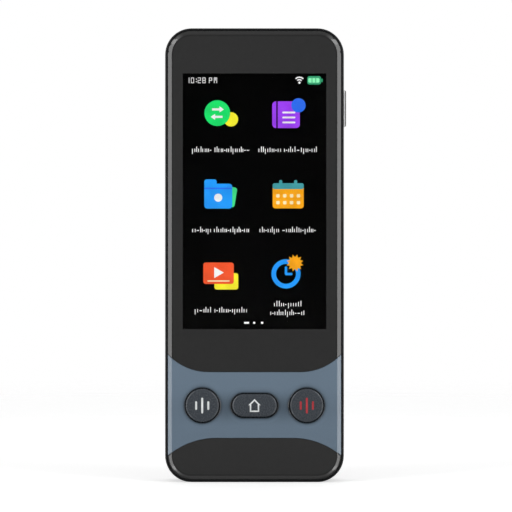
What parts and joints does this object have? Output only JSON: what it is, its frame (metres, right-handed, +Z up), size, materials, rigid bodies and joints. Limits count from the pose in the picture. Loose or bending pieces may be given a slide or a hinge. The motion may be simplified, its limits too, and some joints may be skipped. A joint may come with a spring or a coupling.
{
  "type": "handheld translator",
  "caption": "Bar-shaped handheld voice translator: touch screen over a band of push keys, a side key, a rear camera and a charging inlet in its foot.",
  "frame": {"origin": "middle of the body, across and in depth, on the plane of its foot", "axes": "+Z up the body, -Y out of the screen, +X towards the side key"},
  "size_m": [0.0585, 0.0129, 0.146],
  "materials": {
    "frame_black": "satin black moulding",
    "band_blue": "satin blue-grey moulding",
    "cover_glass": "dark back-printed cover glass, polished",
    "chin_dark": "dark gloss moulding",
    "rear_black": "fine matt moulding",
    "key_grey": "smooth satin key cap",
    "side_key_dark": "satin",
    "screen": "liquid crystal panel behind the glass",
    "touch_film": "clear film",
    "light_guide": "white reflector and guide",
    "adhesive": "thin foam adhesive",
    "white_tape": "double-sided tape",
    "foam": "open foam",
    "flex_amber": "polyimide flat cable",
    "board_green": "solder mask on glass laminate",
    "chip_black": "moulded package",
    "shield_steel": "tinned sheet steel",
    "screw_steel": "zinc-plated steel",
    "contact_steel": "plated contact metal",
    "connector_cream": "moulded connector body",
    "cell_foil": "laminated foil pouch",
    "lead_red": "protection board and sleeve",
    "speaker_black": "moulded sound box",
    "mesh_black": "acoustic cloth",
    "lens_black": "lens barrel",
    "lens_glass": "dark coated window",
    "lens_clear": "frosted clear light guide",
    "trim_metal": "turned and anodised",
    "mic_brass": "plated can",
    "gasket": "soft rubber",
    "inlet_steel": "drawn steel shell",
    "inlet_black": "moulded tongue",
    "lamp_yellow": "phosphor over the lamp"
  },
  "bodies": {
    "root": {"mid_frame": "frame_black", "front_housing": "band_blue", "touch_glass": "cover_glass", "chin_cover": "chin_dark", "rear_cover": "rear_black", "display_tape": "adhesive", "chin_tape": "adhesive", "touch_sensor": "touch_film", "lcd_panel": "screen", "backlight": "light_guide", "display_foam": "foam", "display_flex": "flex_amber", "key_board": "board_green", "key_domes": "contact_steel", "key_board_screws": "screw_steel", "key_flex": "flex_amber", "side_switch": "contact_steel", "side_flex": "flex_amber", "main_board": "board_green", "processor_shield": "shield_steel", "radio_shield": "shield_steel", "processor": "chip_black", "memory_chip": "chip_black", "power_chip": "chip_black", "board_connectors": "connector_cream", "board_screws": "screw_steel", "housing_screws": "screw_steel", "battery": "cell_foil", "battery_tape": "white_tape", "battery_lead": "lead_red", "speaker_box": "speaker_black", "speaker_cone": "lens_black", "speaker_mesh": "mesh_black", "camera_module": "lens_black", "camera_ring": "trim_metal", "camera_window": "lens_glass", "flash_led": "lamp_yellow", "flash_lens": "lens_clear", "charge_board": "board_green", "usb_shell": "inlet_steel", "usb_tongue": "inlet_black", "link_flex": "flex_amber", "microphones": "mic_brass", "mic_gaskets": "gasket", "antenna_flex": "flex_amber"},
    "home_key": {"home_key": "key_grey"},
    "left_talk_key": {"left_talk_key": "key_grey"},
    "right_talk_key": {"right_talk_key": "key_grey"},
    "side_key": {"side_key": "side_key_dark"}
  },
  "joints": [
    {"name": "home_key_press", "type": "slide", "parent": "root", "child": "home_key", "axis": [0, 1, 0], "range_m": [0, 0.0003], "stiffness_N_per_m": 1500, "springref_m": -0.0003},
    {"name": "left_talk_key_press", "type": "slide", "parent": "root", "child": "left_talk_key", "axis": [0, 1, 0], "range_m": [0, 0.0003], "stiffness_N_per_m": 1500, "springref_m": -0.0003},
    {"name": "right_talk_key_press", "type": "slide", "parent": "root", "child": "right_talk_key", "axis": [0, 1, 0], "range_m": [0, 0.0003], "stiffness_N_per_m": 1500, "springref_m": -0.0003},
    {"name": "side_key_press", "type": "slide", "parent": "root", "child": "side_key", "axis": [-1, 0, 0], "range_m": [0, 0.0003], "stiffness_N_per_m": 1500, "springref_m": -0.0003}
  ]
}
